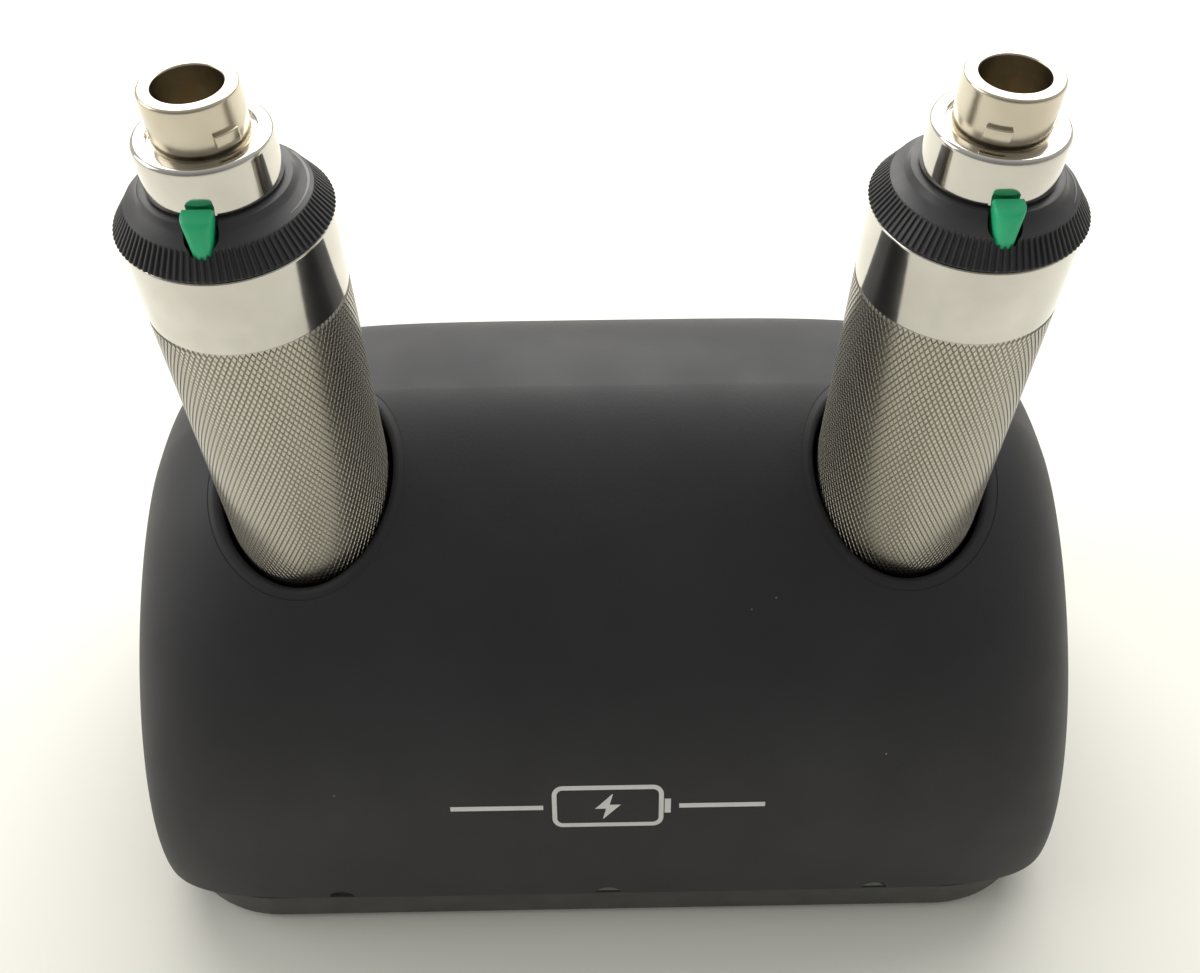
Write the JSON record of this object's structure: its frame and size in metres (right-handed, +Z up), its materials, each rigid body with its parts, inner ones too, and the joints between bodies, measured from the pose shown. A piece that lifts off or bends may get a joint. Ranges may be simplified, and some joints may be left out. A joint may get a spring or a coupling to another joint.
{
  "type": "instrument handle charging stand",
  "caption": "Desk charging stand with upright rechargeable diagnostic instrument handles standing in wells; each has a turning brightness ring, a lock button and a bayonet post.",
  "frame": {"origin": "on the table, under the middle of the whole part's box", "axes": "+X along the stand, +Y towards the stand's back, +Z up along the handles"},
  "size_m": [0.1764, 0.0982, 0.1544],
  "materials": {
    "cover_plastic": "moulded, fine spark texture",
    "base_plastic": "moulded, matt",
    "liner_plastic": "moulded, satin",
    "foot_rubber": "matt",
    "screw_steel": "zinc plated",
    "board_laminate": "solder mask",
    "can_aluminium": "drawn can",
    "epoxy_package": "moulded epoxy",
    "lamp_package": "moulded",
    "smoked_lens": "smoked clear",
    "inlet_plastic": "moulded",
    "bright_chrome": "bright chrome plate",
    "nickel_plate": "bright nickel plate",
    "ring_plastic": "moulded, satin",
    "button_plastic": "moulded, satin",
    "cap_plastic": "moulded",
    "contact_brass": "bright",
    "spring_steel": "drawn wire",
    "cell_sleeve": "shrink sleeve",
    "nylon": "natural nylon",
    "resistor_track": "carbon film"
  },
  "bodies": {
    "stand": {"top_cover": "cover_plastic", "base_plate": "base_plastic", "rubber_feet": "foot_rubber", "case_screws": "screw_steel", "circuit_board": "board_laminate", "board_screws": "screw_steel", "capacitor": "can_aluminium", "regulators": "epoxy_package", "lamps": "lamp_package", "lamp_lenses": "smoked_lens", "power_inlet": "inlet_plastic", "left_well_liner": "liner_plastic", "left_centre_pin_spring": "spring_steel", "left_outer_pin_spring": "spring_steel", "right_well_liner": "liner_plastic", "right_centre_pin_spring": "spring_steel", "right_outer_pin_spring": "spring_steel"},
    "left_centre_pin_body": {"left_centre_pin": "contact_brass"},
    "left_outer_pin_body": {"left_outer_pin": "contact_brass"},
    "left_handle": {"left_battery_tube": "bright_chrome", "left_end_cap": "cap_plastic", "left_charge_button": "contact_brass", "left_charge_ring": "contact_brass", "left_battery_spring": "spring_steel", "left_battery_cell": "cell_sleeve", "left_contact_carrier": "nylon", "left_conductor_rod": "contact_brass", "left_upper_collar": "bright_chrome", "left_resistor_disc": "resistor_track", "left_neck": "bright_chrome", "left_bayonet_tip": "nickel_plate", "left_tip_insulator": "nylon", "left_plunger_spring": "spring_steel"},
    "left_ring": {"left_rheostat_ring": "ring_plastic", "left_wiper": "contact_brass", "left_button_spring": "spring_steel"},
    "left_button": {"left_lock_button": "button_plastic"},
    "left_plunger": {"left_tip_plunger": "contact_brass"},
    "right_centre_pin_body": {"right_centre_pin": "contact_brass"},
    "right_outer_pin_body": {"right_outer_pin": "contact_brass"},
    "right_handle": {"right_battery_tube": "bright_chrome", "right_end_cap": "cap_plastic", "right_charge_button": "contact_brass", "right_charge_ring": "contact_brass", "right_battery_spring": "spring_steel", "right_battery_cell": "cell_sleeve", "right_contact_carrier": "nylon", "right_conductor_rod": "contact_brass", "right_upper_collar": "bright_chrome", "right_resistor_disc": "resistor_track", "right_neck": "bright_chrome", "right_bayonet_tip": "nickel_plate", "right_tip_insulator": "nylon", "right_plunger_spring": "spring_steel"},
    "right_ring": {"right_rheostat_ring": "ring_plastic", "right_wiper": "contact_brass", "right_button_spring": "spring_steel"},
    "right_button": {"right_lock_button": "button_plastic"},
    "right_plunger": {"right_tip_plunger": "contact_brass"}
  },
  "joints": [
    {"name": "left_handle_lift", "type": "slide", "parent": "stand", "child": "left_handle", "axis": [0, 0, 1], "range_m": [0, 0.1]},
    {"name": "left_ring_turn", "type": "hinge", "parent": "left_handle", "child": "left_ring", "pos_m": [-0.05067, -0.0029, 0.1352], "axis": [0, 0, -1], "range_deg": [0, 120]},
    {"name": "left_button_press", "type": "slide", "parent": "left_ring", "child": "left_button", "axis": [0, 0, -1], "range_m": [0, 0.0011], "stiffness_N_per_m": 1500, "springref_m": -0.0005, "deforming": ["left_button_spring"]},
    {"name": "left_plunger_press", "type": "slide", "parent": "left_handle", "child": "left_plunger", "axis": [0, 0, -1], "range_m": [0, 0.0015], "stiffness_N_per_m": 900, "springref_m": -0.0008, "deforming": ["left_plunger_spring"]},
    {"name": "left_centre_pin_press", "type": "slide", "parent": "stand", "child": "left_centre_pin_body", "axis": [0, 0, -1], "range_m": [0, 0.0009], "stiffness_N_per_m": 700, "springref_m": -0.0005, "deforming": ["left_centre_pin_spring"]},
    {"name": "left_outer_pin_press", "type": "slide", "parent": "stand", "child": "left_outer_pin_body", "axis": [0, 0, -1], "range_m": [0, 0.0009], "stiffness_N_per_m": 700, "springref_m": -0.0005, "deforming": ["left_outer_pin_spring"]},
    {"name": "right_handle_lift", "type": "slide", "parent": "stand", "child": "right_handle", "axis": [0, 0, 1], "range_m": [0, 0.1]},
    {"name": "right_ring_turn", "type": "hinge", "parent": "right_handle", "child": "right_ring", "pos_m": [0.05067, -0.0029, 0.1352], "axis": [0, 0, -1], "range_deg": [0, 120]},
    {"name": "right_button_press", "type": "slide", "parent": "right_ring", "child": "right_button", "axis": [0, 0, -1], "range_m": [0, 0.0011], "stiffness_N_per_m": 1500, "springref_m": -0.0005, "deforming": ["right_button_spring"]},
    {"name": "right_plunger_press", "type": "slide", "parent": "right_handle", "child": "right_plunger", "axis": [0, 0, -1], "range_m": [0, 0.0015], "stiffness_N_per_m": 900, "springref_m": -0.0008, "deforming": ["right_plunger_spring"]},
    {"name": "right_centre_pin_press", "type": "slide", "parent": "stand", "child": "right_centre_pin_body", "axis": [0, 0, -1], "range_m": [0, 0.0009], "stiffness_N_per_m": 700, "springref_m": -0.0005, "deforming": ["right_centre_pin_spring"]},
    {"name": "right_outer_pin_press", "type": "slide", "parent": "stand", "child": "right_outer_pin_body", "axis": [0, 0, -1], "range_m": [0, 0.0009], "stiffness_N_per_m": 700, "springref_m": -0.0005, "deforming": ["right_outer_pin_spring"]}
  ]
}
